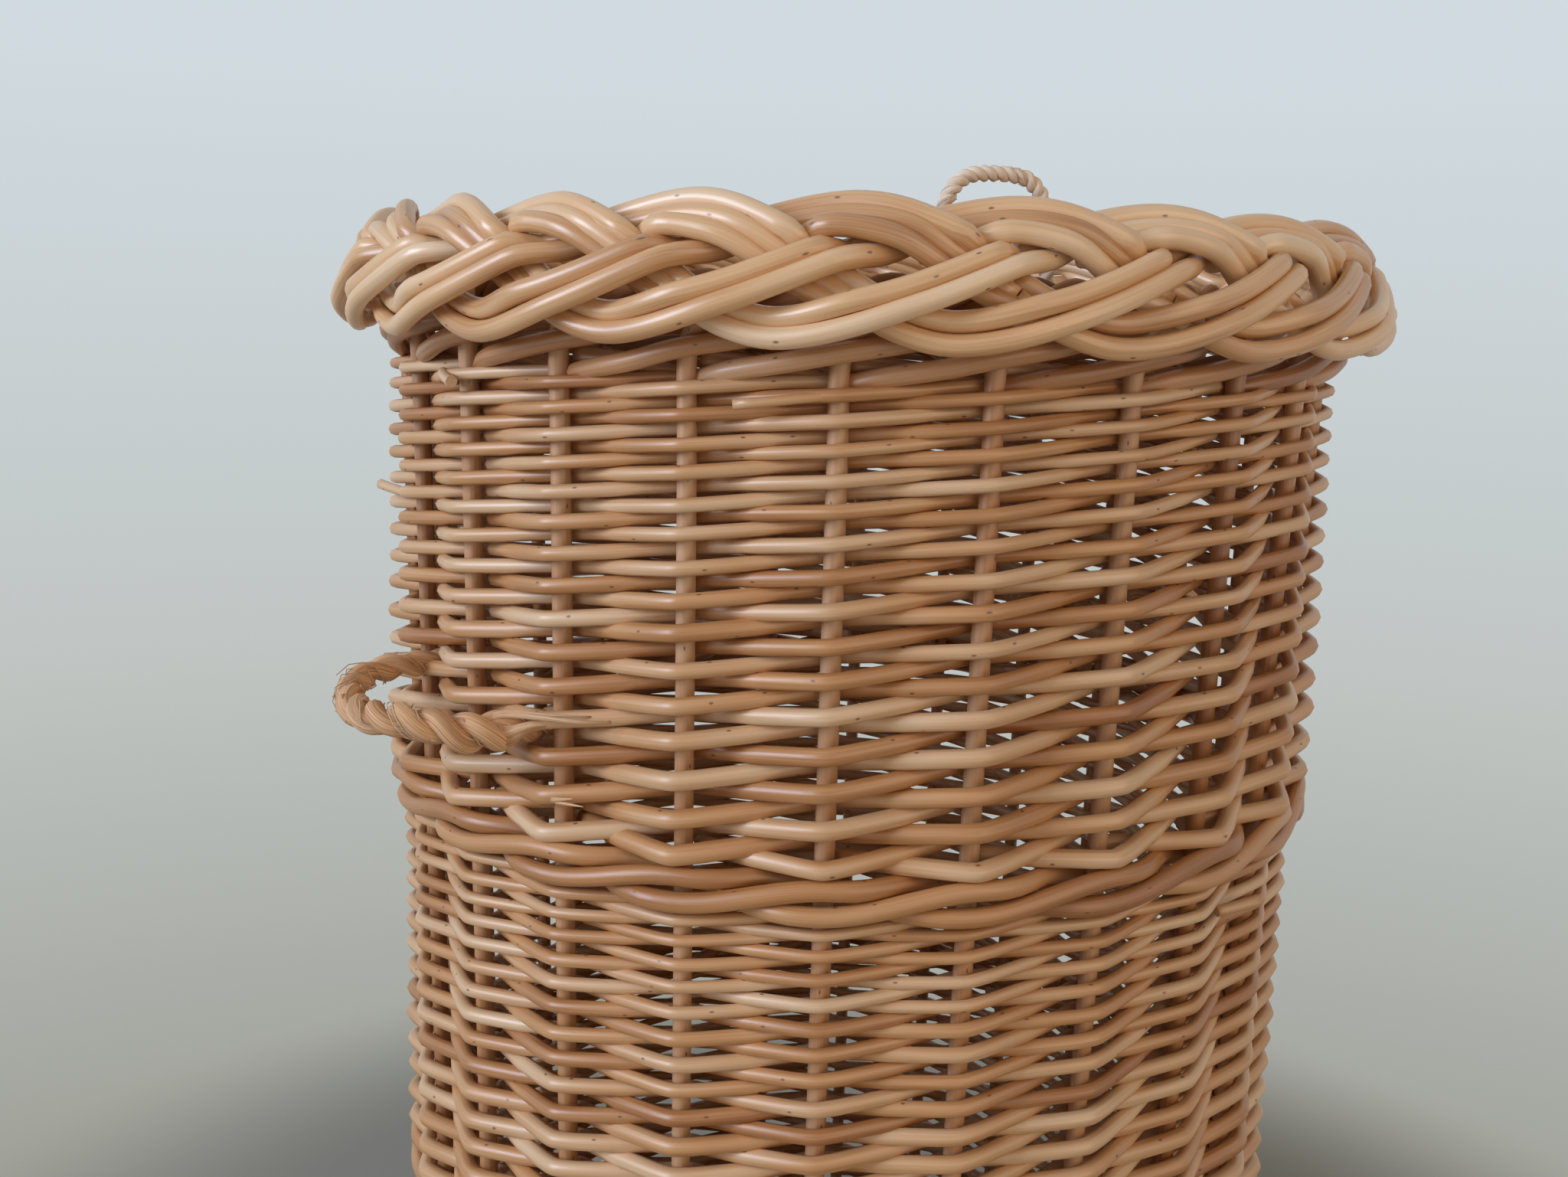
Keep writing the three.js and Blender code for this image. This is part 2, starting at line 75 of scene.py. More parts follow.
def stakeLine(height):
    # the stakes lean outwards in a straight line from foot to top
    climbed = (height - basket["bendTop"]) / (wallTop - basket["bendTop"])
    return basket["footRadius"] + (basket["topRadius"] - basket["footRadius"]) * climbed


def polar(azimuth, radius, height):
    # works on numbers and on arrays alike
    parts = np.broadcast_arrays(radius * np.sin(azimuth), -radius * np.cos(azimuth), height)
    return np.stack(parts, axis=-1)


def smoothStep(value):
    value = np.clip(value, 0, 1)
    return value * value * (3 - 2 * value)


# Rods and ropes are all swept the same way: rings of points round a path

def tangents(path):
    tangent = np.gradient(path, axis=0)
    return tangent / np.linalg.norm(tangent, axis=1, keepdims=True)


def runAlong(path):
    # distance along the path at each of its points
    return np.concatenate([[0], np.cumsum(np.linalg.norm(np.diff(path, axis=0), axis=1))])


def ringFrames(path, reference):
    # the reference is a direction that the path never follows
    tangent = tangents(path)
    normal = reference - tangent * np.sum(reference * tangent, axis=1, keepdims=True)
    normal /= np.linalg.norm(normal, axis=1, keepdims=True)
    return normal, np.cross(tangent, normal)


def carriedFrames(path):
    # for a path that turns every way: each ring's frame is carried on from the one before
    tangent = tangents(path)
    normals = []
    normal = Vector(tangent[0]).orthogonal().normalized()
    for step in tangent:
        along = Vector(step)
        normal = (normal - along * normal.dot(along)).normalized()
        normals.append(tuple(normal))
    normals = np.array(normals)
    return normals, np.cross(tangent, normals)


def rodData(path, radius, generator, reference=(0, 0, 1), tones=(0, 1)):
    # a rod's tone is from 0, dark, to 1, pale, and its grain starts somewhere along the pattern
    return {
        "path": path,
        "radius": radius,
        "reference": reference,
        "tone": generator.uniform(*tones),
        "grain": generator.uniform(0, 50),
    }


def sweptPiece(name, rods, sides, material, body):
    # one mesh from many rods, with its run in metres and its turn from 0 to 1 as UV
    vertices = []
    faces = []
    grains = []
    tones = []
    first = 0
    angles = np.arange(sides) * 2 * math.pi / sides
    for rod in rods:
        path = np.asarray(rod["path"], dtype=float)
        count = len(path)
        radii = np.broadcast_to(rod["radius"], (count,))
        if rod["reference"] is None:
            normal, binormal = carriedFrames(path)
        else:
            normal, binormal = ringFrames(path, np.broadcast_to(rod["reference"], path.shape))
        spread = (np.cos(angles)[None, :, None] * normal[:, None, :]
                  + np.sin(angles)[None, :, None] * binormal[:, None, :])
        vertices.append((path[:, None, :] + radii[:, None, None] * spread).reshape(-1, 3))
        run = np.repeat(runAlong(path) + rod["grain"], sides)
        grains.append(np.stack([run, np.tile(angles / (2 * math.pi), count)], axis=1))
        tones.append(np.full(count * sides, rod["tone"]))
        ringStart = np.arange(count - 1)[:, None] * sides
        here = ringStart + np.arange(sides)[None, :]
        beside = ringStart + (np.arange(sides)[None, :] + 1) % sides
        quads = np.stack([here, beside, beside + sides, here + sides], axis=-1)
        faces.extend((quads.reshape(-1, 4) + first).tolist())
        faces.append((first + np.arange(sides)[::-1]).tolist())
        faces.append((first + (count - 1) * sides + np.arange(sides)).tolist())
        first += count * sides
    mesh = bpy.data.meshes.new(name)
    mesh.from_pydata(np.concatenate(vertices).tolist(), [], faces)
    mesh.polygons.foreach_set("use_smooth", [len(face) == 4 for face in faces])
    corners = np.empty(len(mesh.loops), dtype=np.int32)
    mesh.loops.foreach_get("vertex_index", corners)
    grain = mesh.uv_layers.new(name="grain")
    grain.data.foreach_set("uv", np.concatenate(grains)[corners].ravel())
    tone = mesh.attributes.new("tone", "FLOAT", "POINT")
    tone.data.foreach_set("value", np.concatenate(tones))
    mesh.materials.append(material)
    mesh.validate()
    piece = bpy.data.objects.new(name, mesh)
    bpy.context.collection.objects.link(piece)
    if body:
        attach(piece, body)
    return piece


# Materials

def srgb(hexColour):
    values = [int(hexColour[i:i + 2], 16) / 255 for i in (0, 2, 4)]
    linear = [v / 12.92 if v <= 0.04045 else ((v + 0.055) / 1.055) ** 2.4 for v in values]
    return (*linear, 1)


def addNode(tree, kind, inputs=None, **settings):
    node = tree.nodes.new(kind)
    for name, value in settings.items():
        setattr(node, name, value)
    for name, value in (inputs or {}).items():
        if isinstance(value, bpy.types.NodeSocket):
            tree.links.new(value, node.inputs[name])
        else:
            node.inputs[name].default_value = value
    return node


def newMaterial(name):
    material = bpy.data.materials.new(name)
    material.use_nodes = True
    tree = material.node_tree
    tree.nodes.clear()
    shader = addNode(tree, "ShaderNodeBsdfPrincipled")
    addNode(tree, "ShaderNodeOutputMaterial", {"Surface": shader.outputs["BSDF"]})
    return material, tree, shader


def colourRamp(tree, factor, low, middle, high):
    # low, middle and high are each a place on the ramp and a colour
    ramp = addNode(tree, "ShaderNodeValToRGB", {"Fac": factor})
    stops = ramp.color_ramp.elements
    stops[0].position = low[0]
    stops[0].color = srgb(low[1])
    stops[1].position = high[0]
    stops[1].color = srgb(high[1])
    between = stops.new(middle[0])
    between.color = srgb(middle[1])
    return ramp.outputs["Color"]


def lookRamp(tree, factor, look):
    low, middle, high = look["rampPlaces"]
    return colourRamp(
        tree, factor, (low, look["dark"]), (middle, look["main"]), (high, look["light"]))


def peeledRod(name, look):
    # Rattan core and buff rods, boiled and peeled: a satin skin with long fine grain, pale and
    # dark rods mixed, small bud scars, and a little wear along the grain
    material, tree, shader = newMaterial(name)
    shader.inputs["IOR"].default_value = look["ior"]
    shader.inputs["Specular IOR Level"].default_value = look["specular"]
    uv = addNode(tree, "ShaderNodeUVMap", uv_map="grain")
    tone = addNode(tree, "ShaderNodeAttribute", attribute_name="tone")
    grainScale = addNode(tree, "ShaderNodeMapping", {
        "Vector": uv.outputs["UV"],
        "Scale": (1 / (look["grainLength"] * mm), look["rodRound"] / look["grainWidth"], 1)})
    grain = addNode(tree, "ShaderNodeTexNoise", {
        "Vector": grainScale.outputs["Vector"], "Scale": 1, "Detail": 4, "Roughness": 0.6})
    # slow change of colour along a rod
    driftScale = addNode(tree, "ShaderNodeMapping", {
        "Vector": uv.outputs["UV"],
        "Scale": (1 / (look["driftLength"] * mm), look["driftRound"], 1)})
    drift = addNode(tree, "ShaderNodeTexNoise", {
        "Vector": driftScale.outputs["Vector"], "Scale": 1, "Detail": 2, "Roughness": 0.5})
    mixed = addNode(tree, "ShaderNodeMath", {
        0: tone.outputs["Fac"], 1: look["toneSpread"]}, operation="MULTIPLY")
    drifted = addNode(tree, "ShaderNodeMath", {
        0: drift.outputs["Fac"], 1: look["driftSpread"], 2: mixed.outputs[0]},
        operation="MULTIPLY_ADD")
    grained = addNode(tree, "ShaderNodeMath", {
        0: grain.outputs["Fac"], 1: look["grainSpread"], 2: drifted.outputs[0]},
        operation="MULTIPLY_ADD")
    colour = lookRamp(tree, grained.outputs[0], look)
    # bud scars: small dark marks, one to a cell of the scar spacing
    scarScale = addNode(tree, "ShaderNodeMapping", {
        "Vector": uv.outputs["UV"],
        "Scale": (1 / (look["scarSpacing"] * mm),
                  look["rodRound"] / look["scarSpacing"] * look["scarLength"], 1)})
    scars = addNode(tree, "ShaderNodeTexVoronoi", {
        "Vector": scarScale.outputs["Vector"], "Scale": 1, "Randomness": 1},
        voronoi_dimensions="2D")
    scarEdge = look["scarSize"] / look["scarSpacing"]
    scarShare = addNode(tree, "ShaderNodeMapRange", {
        "Value": scars.outputs["Distance"], "From Min": look["scarCore"] * scarEdge,
        "From Max": scarEdge, "To Min": look["scarStrength"], "To Max": 0})
    scarred = addNode(tree, "ShaderNodeMix", {
        "Factor": scarShare.outputs["Result"], "A": colour, "B": srgb(look["scar"])},
        data_type="RGBA")
    tree.links.new(scarred.outputs["Result"], shader.inputs["Base Color"])
    dull = addNode(tree, "ShaderNodeMapRange", {
        "Value": grain.outputs["Fac"], "From Min": 0.3, "From Max": 0.7,
        "To Min": look["roughness"] - look["smoother"],
        "To Max": look["roughness"] + look["rougher"]})
    tree.links.new(dull.outputs["Result"], shader.inputs["Roughness"])
    relief = addNode(tree, "ShaderNodeBump", {
        "Height": grain.outputs["Fac"], "Strength": look["grainStrength"],
        "Distance": look["grainDepth"] * mm})
    tree.links.new(relief.outputs["Normal"], shader.inputs["Normal"])
    return material


def fibreRope(name, look):
    # Natural fibre rope, laid by hand: matt straw with a dull shine along the fibres
    material, tree, shader = newMaterial(name)
    shader.inputs["IOR"].default_value = look["ior"]
    shader.inputs["Specular IOR Level"].default_value = look["specular"]
    shader.inputs["Roughness"].default_value = look["roughness"]
    uv = addNode(tree, "ShaderNodeUVMap", uv_map="grain")
    tone = addNode(tree, "ShaderNodeAttribute", attribute_name="tone")
    scale = addNode(tree, "ShaderNodeMapping", {
        "Vector": uv.outputs["UV"],
        "Scale": (1 / (look["fibreLength"] * mm), look["strandRound"] / look["fibreWidth"], 1)})
    fibres = addNode(tree, "ShaderNodeTexNoise", {
        "Vector": scale.outputs["Vector"], "Scale": 1, "Detail": 3, "Roughness": 0.65})
    value = addNode(tree, "ShaderNodeMath", {
        0: tone.outputs["Fac"], 1: look["toneSpread"], 2: fibres.outputs["Fac"]},
        operation="MULTIPLY_ADD")
    colour = lookRamp(tree, value.outputs[0], look)
    tree.links.new(colour, shader.inputs["Base Color"])
    relief = addNode(tree, "ShaderNodeBump", {
        "Height": fibres.outputs["Fac"], "Strength": look["fibreStrength"],
        "Distance": look["fibreDepth"] * mm})
    tree.links.new(relief.outputs["Normal"], shader.inputs["Normal"])
    return material


# Lengths, widths and depths in the looks are in mm. rodRound is the way round a rod.
weaverLook = {
    "main": "cc9863",
    "dark": "a46937",
    "light": "e3c39b",
    "scar": "5f351c",
    # where dark, main and light lie on the colour's range
    "rampPlaces": (0.46, 0.7, 0.96),
    "ior": 1.5,
    "specular": 0.8,
    "roughness": 0.38,
    # how far the grain changes the roughness
    "smoother": 0.06,
    "rougher": 0.08,
    "rodRound": 16,
    "grainLength": 60,
    "grainWidth": 1.0,
    "grainDepth": 0.3,
    "grainStrength": 0.25,
    "driftLength": 90,
    "driftRound": 1.2,
    # how much of the colour's range the rods' own tones, the drift and the grain take up
    "toneSpread": 0.32,
    "driftSpread": 0.75,
    "grainSpread": 0.36,
    "scarSpacing": 30,
    "scarSize": 1.1,
    "scarLength": 2.2,
    "scarCore": 0.4,
    "scarStrength": 0.8,
}
stakeLook = {**weaverLook, "main": "c28d5d", "dark": "9e6a40", "light": "d5ad84", "rodRound": 22}
waleLook = {**weaverLook, "main": "c28b55", "dark": "9f6838", "light": "d6ab7c", "rodRound": 26}
# the lid's rim is duller, and its colours carry painted shade, darker for the shade in the plait's
# openings, so that nothing shines there
rimPaintedShadeLook = {**weaverLook, "main": "b57f52", "dark": "8a5730", "light": "cb9b72",
           "roughness": 0.66, "specular": 0.18}
# the plait's rods are painted paler than the wall's: painted light for the light that falls on the
# plait from above
plaitPaintedLightLook = {**weaverLook, "main": "e4b885", "dark": "b47c48", "light": "f1d6b1", "rodRound": 24,
             "roughness": 0.34, "specular": 1.0, "scarSpacing": 34, "scarSize": 1.3}
# the fibres are drawn 0.4 mm wide so that they show
ropeLook = {
    "main": "e6ba8c",
    "dark": "aa764a",
    "light": "fbe8d0",
    "rampPlaces": (0.4, 0.66, 0.95),
    "ior": 1.5,
    "specular": 0.35,
    "roughness": 0.62,
    "toneSpread": 0.4,
    "fibreLength": 25,
    "fibreWidth": 0.4,
    "fibreDepth": 0.5,
    "fibreStrength": 0.8,
    "strandRound": 14,
}
cordLook = {**ropeLook, "main": "f8e2c8", "dark": "cf9f72", "light": "fff4e4", "strandRound": 8}

weaverRod = peeledRod("peeled_weaver_rod", weaverLook)
stakeRod = peeledRod("peeled_stake_rod", stakeLook)
waleRod = peeledRod("peeled_wale_rod", waleLook)
rimPaintedShadeRod = peeledRod("peeled_rim_rod_painted_shade", rimPaintedShadeLook)
plaitPaintedLightRod = peeledRod("peeled_plait_rod_painted_light", plaitPaintedLightLook)
strawRope = fibreRope("straw_rope", ropeLook)
paleCord = fibreRope("pale_straw_cord", cordLook)
print("materials made")


# Wall: three blocks of French rand. A rod starts at every stake and climbs one row at each stake
# that it passes, thick end first, so each block is coarse at the bottom and fine at the top.
thinBlock = {"rowAtFoot": 6.6 * mm, "rowAtTop": 3.9 * mm, "rodShare": 0.55, "flare": 0.3 * mm}
topBlock = {"rowAtFoot": 7.0 * mm, "rowAtTop": 4.2 * mm, "rodShare": 0.51, "flare": 2.2 * mm}
rand = {
    "blocks": {"weave_lower": thinBlock, "weave_middle": thinBlock, "weave_upper": topBlock},
    "kink": 0.993,
    # points along a rod from one stake to the next, closer at the stakes, where it bends
    "steps": (0, 0.025, 0.06, 0.15, 0.5, 0.85, 0.94, 0.975),
    # a rod starts this far before a stake and ends this far past one, in stakes
    "buttBefore": 0.95,
    "tipPast": 0.25,
    "stoutness": (0.94, 1.06),
    # the rod's middle lies this share of its radius above its row's level, and its whole run this
    # share of the flare further out
    "raised": 0.4,
    "pushedOut": 0.4,
    "unevenRadius": 0.04,
    "radiusRun": 3,
    "wander": 0.75 * mm,
    "wanderRun": 1.5,
    "sides": 8,
    # ends and splinters that stand out: azimuth in degrees, height above the floor and radius in
    # mm, from and to
    "strays": [
        {"from": (-11, 541.5, 201.5), "to": (0, 546, 196), "thick": 1.7 * mm, "thin": 1.5 * mm},
        {"from": (-44.5, 543.5, 203), "to": (-50, 545.5, 196), "thick": 2.2 * mm, "thin": 2.2 * mm},
        {"from": (-73, 496, 203.5), "to": (-67, 495, 195), "thick": 2.2 * mm, "thin": 2.1 * mm},
        {"from": (-29.5, 402, 203), "to": (-26.5, 405, 205.5), "thick": 1.2 * mm, "thin": 0.2 * mm},
        {"from": (-29, 401.5, 203), "to": (-25.5, 402.5, 204.5), "thick": 1 * mm, "thin": 0.2 * mm},
        {"from": (52, 356, 202), "to": (47, 354, 194), "thick": 2.4 * mm, "thin": 2.2 * mm},
    ],
    "strayPoints": 7,
    "strayTones": (0.6, 1),
}


def kinkedWave(units, kink):
    # +1 in front of a stake and -1 behind the next, nearly straight between them
    return np.arcsin(kink * np.cos(math.pi * units)) / math.asin(kink)


def wander(units, seed, step):
    # smooth random drift with one new value at every step
    generator = np.random.default_rng(seed)
    knots = np.arange(math.floor(units[0] / step) - 1, math.ceil(units[-1] / step) + 2)
    values = generator.uniform(-1, 1, len(knots))
    place = units / step - knots[0]
    index = np.floor(place).astype(int)
    share = smoothStep(place - index)
    return values[index] * (1 - share) + values[index + 1] * share


def randBlock(node, seed):
    low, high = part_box(node)
    foot = float(low[2])
    height = float(high[2]) - foot
    block = rand["blocks"][node]
    run = height / ((block["rowAtFoot"] + block["rowAtTop"]) / 2)
    # the rods start and end behind a stake
    lastStake = 2 * round((run - 1) / 2) + 1
    units = (np.arange(-1, lastStake + 1)[:, None] + np.array(rand["steps"])).ravel()
    units = units[(units > -rand["buttBefore"]) & (units < lastStake + rand["tipPast"])]
    climbed = np.clip(units, 0, run)
    shrink = (block["rowAtTop"] - block["rowAtFoot"]) / run
    level = foot + block["rowAtFoot"] * climbed + shrink * climbed ** 2 / 2
    row = block["rowAtFoot"] + shrink * climbed
    flare = block["flare"] * (1 - climbed / run)
    wave = kinkedWave(units, rand["kink"])
    generator = random.Random(seed)
    rods = []
    for start in range(basket["stakeCount"]):
        stout = generator.uniform(*rand["stoutness"])
        uneven = rand["unevenRadius"] * wander(units, seed * 100 + start, rand["radiusRun"])
        radius = row * block["rodShare"] * stout * (1 + uneven)
        drift = rand["wander"] * wander(units, seed * 200 + start, rand["wanderRun"])
        z = level + radius * rand["raised"] + drift * row / block["rowAtFoot"]
        sway = basket["stakeRadius"] + radius + flare
        distance = stakeLine(z) + sway * wave + flare * rand["pushedOut"]
        path = polar(stakeAzimuth(start + units), distance, np.minimum(z, foot + height))
        rods.append(rodData(path, radius, generator))
    if node == "weave_upper":
        count = rand["strayPoints"]
        for stray in rand["strays"]:
            ends = zip(stray["from"], stray["to"])
            azimuth, up, reach = (np.linspace(tip, butt, count) for tip, butt in ends)
            path = polar(np.radians(azimuth), reach * mm, up * mm)
            radius = np.linspace(stray["thick"], stray["thin"], count)
            rods.append(rodData(path, radius, generator, tones=rand["strayTones"]))
    piece = sweptPiece(node + "_rods", rods, rand["sides"], weaverRod, "basket")
    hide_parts(node)


for seed, node in enumerate(rand["blocks"]):
    randBlock(node, seed + 1)
print("wall woven")


# Wale: heavier rods, each in front of two stakes and behind one. A rod comes out low, climbs over
# its neighbour and goes in high.
wale = {
    "rodsInRound": 3,
    "stepsPerStake": 10,
    "sides": 12,
    "stoutness": (0.95, 1.03),
    # places in stakes from the hidden pass, and how long each change takes
    "riseAt": 0.95,
    "riseRun": 1.1,
    "fallAt": 2.5,
    "fallRun": 0.5,
    "comesOutAt": 0.12,
    "comesOutRun": 0.76,
    # in rod radii: how far the foot's rods lie outside the stakes, and how much further in front
    "footBehind": 1.2,
    "footSway": 0.9,
    "firstSeed": 30,
    "bands": {
        "wale_lower": {"rounds": 1, "rod": 7.2 * mm, "lift": 4.6 * mm, "out": 0.2 * mm},
        "wale_upper": {"rounds": 1, "rod": 7.4 * mm, "lift": 4.8 * mm, "out": 2.6 * mm},
        "wale_foot": {"rounds": 2, "rod": 5.6 * mm, "lift": 2.6 * mm, "out": 0},
    },
}


def waleLevel(place):
    # -1 from half a stake after the hidden pass, +1 from the second stake in front until half a
    # stake later
    run = wale["fallRun"]
    rising = smoothStep((place - wale["riseAt"]) / wale["riseRun"])
    falling = (smoothStep((place - wale["fallAt"]) / run) - smoothStep((run - place) / run)) * 0.5
    return 2 * rising - 1 - 2 * falling


def waleBand(node, seed):
    low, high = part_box(node)
    foot = float(low[2])
    height = float(high[2]) - foot
    band = wale["bands"][node]
    period = wale["rodsInRound"]
    step = 1 / wale["stepsPerStake"]
    units = np.arange(0, basket["stakeCount"] + step, step)
    # the seam of the closed rod lies behind a stake
    place = units % period
    comesOut = smoothStep((place - wale["comesOutAt"]) / wale["comesOutRun"])
    goesIn = smoothStep((period - wale["comesOutAt"] - place) / wale["comesOutRun"])
    inFront = comesOut * goesIn
    generator = random.Random(seed)
    rods = []
    for turn in range(band["rounds"]):
        middle = foot + height * (turn + 0.5) / band["rounds"]
        for number in range(wale["rodsInRound"]):
            radius = band["rod"] / 2 * generator.uniform(*wale["stoutness"])
            sway = basket["stakeRadius"] + radius
            z = middle + band["lift"] * waleLevel(place)
            distance = stakeLine(z) + band["out"] - sway + 2 * sway * inFront
            if node == "wale_foot":
                # the foot's rods lie outside the bent stakes and dip in between them
                inside = basket["footRadius"] + basket["stakeRadius"]
                distance = inside + radius * (wale["footBehind"] + wale["footSway"] * inFront)
                z = np.maximum(z, foot + radius)
            path = polar(stakeAzimuth(units + number), distance, z)
            rods.append(rodData(path, radius, generator))
    piece = sweptPiece(node + "_rods", rods, wale["sides"], waleRod, "basket")
    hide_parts(node)


for number, node in enumerate(wale["bands"]):
    waleBand(node, wale["firstSeed"] + number)
print("wale made")


# Stakes: up the wall and under the plait. A thick rod runs in behind each one, comes out low
# beside it, rises in front of the next and goes in behind the one after.
stake = {
    "tuck": 44 * mm,
    "base": 12 * mm,
    # the bend at the foot: its radius, where it begins in radii, its middle point's share of the
    # arc and how far above it the upright goes on
    "bend": 9 * mm,
    "bendFrom": 1.6,
    "bendCut": 0.9,
    "bendOver": 3 * mm,
    "straightFrom": 60 * mm,
    "straightBelowTop": 25 * mm,
    "straightPoints": 6,
    "seed": 11,
    "stoutness": (0.96, 1.04),
    "sides": 10,
    "stepsPerPoint": 6,
    # each point is a place in stakes, then how far out from the wall's top radius and how far up
    # from its top in mm. The upright leans out into the plait's inner side. The rising points lie
    # up to the uneven height, in mm, above or below their place.
    "lean": ((0, 0.6, 7), (0.1, 4.375, 16.12), (0.34, 12.5, 26)),
    "borderIn": ((-0.95, -6.5, 5.5), (-0.5, -7.5, 3.5), (-0.06, -6.5, -0.5), (0.06, -3.5, -0.5)),
    "borderRising": ((0.3, 2, 2.4), (0.65, 6, 5.6)),
    "borderFront": ((1, 8.3, 9.6), (1.35, 6.3, 12.8), (1.7, -1, 16), (2, -7.3, 17.5),
                    (2.25, -13.3, 17.5)),
    "uneven": 0.8,
}


def catmullRom(points, steps):
    # a smooth curve through the points
    points = np.asarray(points, dtype=float)
    padded = np.vstack([2 * points[0] - points[1], points, 2 * points[-1] - points[-2]])
    curve = []
    for i in range(1, len(padded) - 2):
        before, here, after, beyond = padded[i - 1:i + 3]
        for t in np.arange(steps) / steps:
            curve.append(0.5 * (2 * here + (after - before) * t
                                + (2 * before - 5 * here + 4 * after - beyond) * t ** 2
                                + (3 * here - before - 3 * after + beyond) * t ** 3))
    curve.append(points[-1])
    return np.array(curve)


def stakeRods():
    generator = random.Random(stake["seed"])
    foot = basket["footRadius"]
    bend = stake["bend"]
    arc = bend * math.sqrt(0.5)
    bendTop = stake["base"] + bend
    straight = np.linspace(stake["straightFrom"], wallTop - stake["straightBelowTop"],
                           stake["straightPoints"])
    for number in range(basket["stakeCount"]):
        def at(units, radius, height):
            return polar(stakeAzimuth(number + units), radius, height)

        def fromTop(points, uneven=0):
            return [at(units, basket["topRadius"] + out * mm, wallTop + (up + uneven) * mm)
                    for units, out, up in points]

        upright = [
            at(0, foot - bend - stake["tuck"], stake["base"]),
            at(0, foot - bend * stake["bendFrom"], stake["base"]),
            at(0, foot - bend + arc * stake["bendCut"], bendTop - arc),
            at(0, foot, bendTop + stake["bendOver"]),
        ]
        upright += [at(0, stakeLine(z), z) for z in straight]
        upright += fromTop(stake["lean"])
        uneven = generator.uniform(-stake["uneven"], stake["uneven"])
        border = fromTop(stake["borderIn"]) + fromTop(stake["borderRising"], uneven)
        border += fromTop(stake["borderFront"])
        rods = []
        for points in (upright, border):
            radius = basket["stakeRadius"] * generator.uniform(*stake["stoutness"])
            path = catmullRom(points, stake["stepsPerPoint"])
            rods.append(rodData(path, radius, generator, reference=None))
        name = f"stake_{number + 1:02d}"
        piece = sweptPiece(name + "_rods", rods, stake["sides"], stakeRod, "basket")
        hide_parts(name)


stakeRods()
print("stakes made")


# Plait: four strands, a new one at every stake. Three rods run over the crest and down to the
# right, over one strand and under two. Two of them sweep along the bottom and up, over two strands
# and under one.
plait = {
    "strands": 4,
    "rodRadius": 3.62 * mm,
    "stoutness": (0.95, 1.03),
    "crestPitch": 5.7 * mm,
    "lowPitch": 7.2 * mm,
    "middleRadius": 208.4 * mm,
    "middleHeight": wallTop + 35 * mm,
    "lean": math.radians(24.4),
    "crest": 18.6 * mm,
    "trough": -17.6 * mm,
    "troughAt": 1.77,
    "lift": 4.8 * mm,
    "crestCurl": 4.9 * mm,
    "lowCurl": 3 * mm,
    "bandHalf": 24 * mm,
    "crestShift": -0.05,
    "unevenUp": 0.7 * mm,
    "unevenUpRun": 1.7,
    "unevenOut": 0.4 * mm,
    "unevenOutRun": 1.3,
    "stepsPerStake": 16,
    "sides": 12,
    # places are in stakes from a strand's crest, where its three rods are numbered 1, 0 and -1
    # from the top. They become two at narrowAt and three again at widenAt.
    "narrowAt": 0.9,
    "narrowRun": 0.45,
    "widenAt": 3.2,
    "widenRun": 0.4,
    "lowPlace": {1: 0.5, 0: -0.5, -1: -0.1},
    # where each rod goes outside (1) or inside (-1), from and to
    "turns": {
        1: [(0.73, 0.9, -1), (1.6, 2.2, 1), (2.9, 3.08, -1), (3.42, 4.47, 1)],
        0: [(0.38, 0.98, -1), (1.5, 2.44, 1), (3.0, 3.39, -1), (3.42, 4.51, 1)],
        -1: [(-0.26, -0.01, 1), (0.3, 0.8, -1)],
    },
    # the closed rods' seams lie under a crossing, and the third rod is a short one over each crest
    "seamAt": 1.05,
    "thirdFrom": -0.5,
    "thirdTo": 1.25,
    "firstSeed": 50,
}


def plaitPath(units, place, seed):
    period = plait["strands"]
    phase = units % period
    downShare = phase / plait["troughAt"]
    upShare = 1 + (phase - plait["troughAt"]) / (period - plait["troughAt"])
    turn = np.where(phase < plait["troughAt"], downShare, upShare)
    middle = (plait["crest"] + plait["trough"]) / 2
    half = (plait["crest"] - plait["trough"]) / 2
    sway = middle + half * np.cos(math.pi * turn)
    # three rods lie side by side over the crest and two along the bottom
    narrowing = 1 - smoothStep((phase - plait["narrowAt"]) / plait["narrowRun"])
    widening = smoothStep((phase - plait["widenAt"]) / plait["widenRun"])
    three = np.where(phase < period / 2, narrowing, widening)
    across = place * three * plait["crestPitch"]
    across = across + plait["lowPlace"][place] * (1 - three) * plait["lowPitch"]
    if place == -1:
        # the third rod comes out beside the strand and stays behind once it has gone under
        phase = np.where(phase > period / 2, phase - period, phase)
        level = -1.0
    else:
        # the last turn runs on past the next crest
        begin, finish, _ = plait["turns"][place][-1]
        level = 1.0 - 2 * (1 - smoothStep((phase + period - begin) / (finish - begin)))
    for begin, finish, side in plait["turns"][place]:
        level = level + 2 * side * smoothStep((phase - begin) / (finish - begin))
    up = sway + across + plait["unevenUp"] * wander(units, seed, plait["unevenUpRun"])
    uneven = plait["unevenOut"] * wander(units, seed + 1, plait["unevenOutRun"])
    return up, level * plait["lift"] + uneven


def plaitPoint(units, up, out):
    curl = np.where(up > 0, plait["crestCurl"], plait["lowCurl"])
    through = out - curl * (up / plait["bandHalf"]) ** 2
    lean = plait["lean"]
    radius = plait["middleRadius"] + through * math.cos(lean) - up * math.sin(lean)
    height = plait["middleHeight"] + through * math.sin(lean) + up * math.cos(lean)
    return polar(stakeAzimuth(units + plait["crestShift"]), radius, height)


